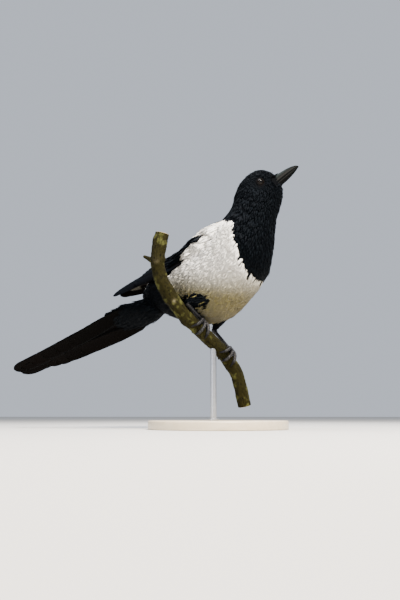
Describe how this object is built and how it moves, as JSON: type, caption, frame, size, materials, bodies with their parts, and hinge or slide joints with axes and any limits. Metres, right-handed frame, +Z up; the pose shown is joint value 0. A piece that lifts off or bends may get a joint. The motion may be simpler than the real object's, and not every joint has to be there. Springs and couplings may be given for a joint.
{
  "type": "eurasian magpie on a cut branch perch",
  "caption": "Still life-size Eurasian magpie gripping a short cut branch, with folded wings and a long tail, on a plain round stand with one rod.",
  "frame": {"origin": "centre of the stand's flat underside, on the floor", "axes": "+Z up, +X the way the bird's body faces, +Y to the bird's left"},
  "size_m": [0.382, 0.16, 0.3136],
  "materials": {
    "black_plumage": "black feathers with a faint blue sheen",
    "white_plumage": "soft white feathers, warmer low on the belly",
    "glossy_plumage": "black flight and tail feathers with blue and green gloss",
    "scaled_skin": "grey black scaled legs and toes",
    "horn": "black horn, satin",
    "eye": "very dark brown, wet gloss",
    "bark": "thin olive brown bark",
    "stand": "plain pale lacquered wood",
    "rod": "brushed steel"
  },
  "bodies": {
    "root": {"head": "black_plumage", "neck": "black_plumage", "torso": "white_plumage", "wing_right": "glossy_plumage", "wing_left": "glossy_plumage", "tail": "glossy_plumage", "thigh_right": "black_plumage", "thigh_left": "black_plumage", "tarsus_right": "scaled_skin", "tarsus_left": "scaled_skin", "toes_right": "scaled_skin", "toes_left": "scaled_skin", "claw_inner_right": "horn", "claw_middle_right": "horn", "claw_outer_right": "horn", "claw_back_right": "horn", "claw_inner_left": "horn", "claw_middle_left": "horn", "claw_outer_left": "horn", "claw_back_left": "horn", "bill_upper": "horn", "bill_lower": "horn", "eye_right": "eye", "eye_left": "eye", "perch": "bark", "stand_base": "stand", "stand_rod": "rod"}
  },
  "joints": []
}
